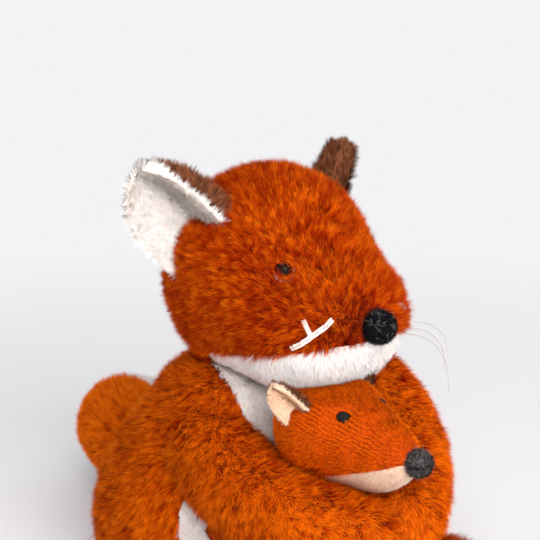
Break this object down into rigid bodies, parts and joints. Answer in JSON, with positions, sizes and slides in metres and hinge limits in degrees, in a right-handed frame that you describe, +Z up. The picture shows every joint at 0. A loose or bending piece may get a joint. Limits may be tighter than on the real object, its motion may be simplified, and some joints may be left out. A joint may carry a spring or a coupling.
{
  "type": "plush fox",
  "caption": "Seated plush fox that hugs its cub, with a tipping head, arms that open, legs that spread and a tail that swings on sewn seams.",
  "frame": {"origin": "middle of the flat seat, on the surface that the fox sits on", "axes": "+Z up, -Y the way that the fox faces, +X to its left"},
  "size_m": [0.1308, 0.2699, 0.1859],
  "materials": {
    "rust_plush": "matte",
    "white_plush": "matte",
    "brown_plush": "matte",
    "orange_velvet": "matte",
    "cream_velvet": "matte",
    "black_felt": "matte",
    "grey_felt": "matte",
    "black_bead": "gloss",
    "white_plastic": "satin",
    "white_floss": "satin",
    "black_floss": "satin",
    "whisker_hair": "satin",
    "stuffing": "matte",
    "pellets": "matte"
  },
  "bodies": {
    "torso": {"torso_skin": "rust_plush", "belly_panel": "white_plush", "torso_stuffing": "stuffing", "pellet_pouch": "pellets", "cub_head": "orange_velvet", "cub_jaw_panel": "cream_velvet", "cub_nose": "grey_felt", "cub_eye_right": "black_floss", "cub_eye_left": "black_floss", "cub_ear_right_back": "brown_plush", "cub_ear_right_lining": "cream_velvet", "cub_ear_left_back": "brown_plush", "cub_ear_left_lining": "cream_velvet", "cub_body": "orange_velvet", "cub_leg_right": "orange_velvet", "cub_leg_left": "orange_velvet"},
    "head": {"head_skin": "rust_plush", "jaw_panel": "white_plush", "head_stuffing": "stuffing", "nose": "black_felt", "eye_right": "black_bead", "eye_left": "black_bead", "eye_washer_right": "white_plastic", "eye_washer_left": "white_plastic", "ear_right_back": "brown_plush", "ear_right_lining": "white_plush", "ear_left_back": "brown_plush", "ear_left_lining": "white_plush", "cheek_mark_right": "white_floss", "cheek_mark_left": "white_floss", "whisker_1": "whisker_hair", "whisker_2": "whisker_hair", "whisker_3": "whisker_hair"},
    "arm_right": {"arm_right": "rust_plush"},
    "arm_left": {"arm_left": "rust_plush"},
    "leg_right": {"leg_right": "rust_plush"},
    "leg_left": {"leg_left": "rust_plush"},
    "tail": {"tail": "rust_plush", "tail_tip": "white_plush"}
  },
  "joints": [
    {"name": "head_nod", "type": "hinge", "parent": "torso", "child": "head", "pos_m": [0, -0.002, 0.1], "axis": [-1, 0, 0], "range_deg": [0, 10], "stiffness_Nm_per_rad": 0.6},
    {"name": "arm_right_open", "type": "hinge", "parent": "torso", "child": "arm_right", "pos_m": [-0.03, -0.014, 0.078], "axis": [0, 0, -1], "range_deg": [0, 20], "stiffness_Nm_per_rad": 0.3},
    {"name": "arm_left_open", "type": "hinge", "parent": "torso", "child": "arm_left", "pos_m": [0.03, -0.014, 0.088], "axis": [0, 0, 1], "range_deg": [0, 20], "stiffness_Nm_per_rad": 0.3},
    {"name": "leg_right_spread", "type": "hinge", "parent": "torso", "child": "leg_right", "pos_m": [-0.033, -0.034, 0.015], "axis": [0, 0, -1], "range_deg": [0, 15], "stiffness_Nm_per_rad": 0.3},
    {"name": "leg_left_spread", "type": "hinge", "parent": "torso", "child": "leg_left", "pos_m": [0.033, -0.034, 0.015], "axis": [0, 0, 1], "range_deg": [0, 15], "stiffness_Nm_per_rad": 0.3},
    {"name": "tail_swing", "type": "hinge", "parent": "torso", "child": "tail", "pos_m": [0, 0.046, 0.023], "axis": [0, 0, 1], "range_deg": [-12, 12], "stiffness_Nm_per_rad": 0.3}
  ]
}
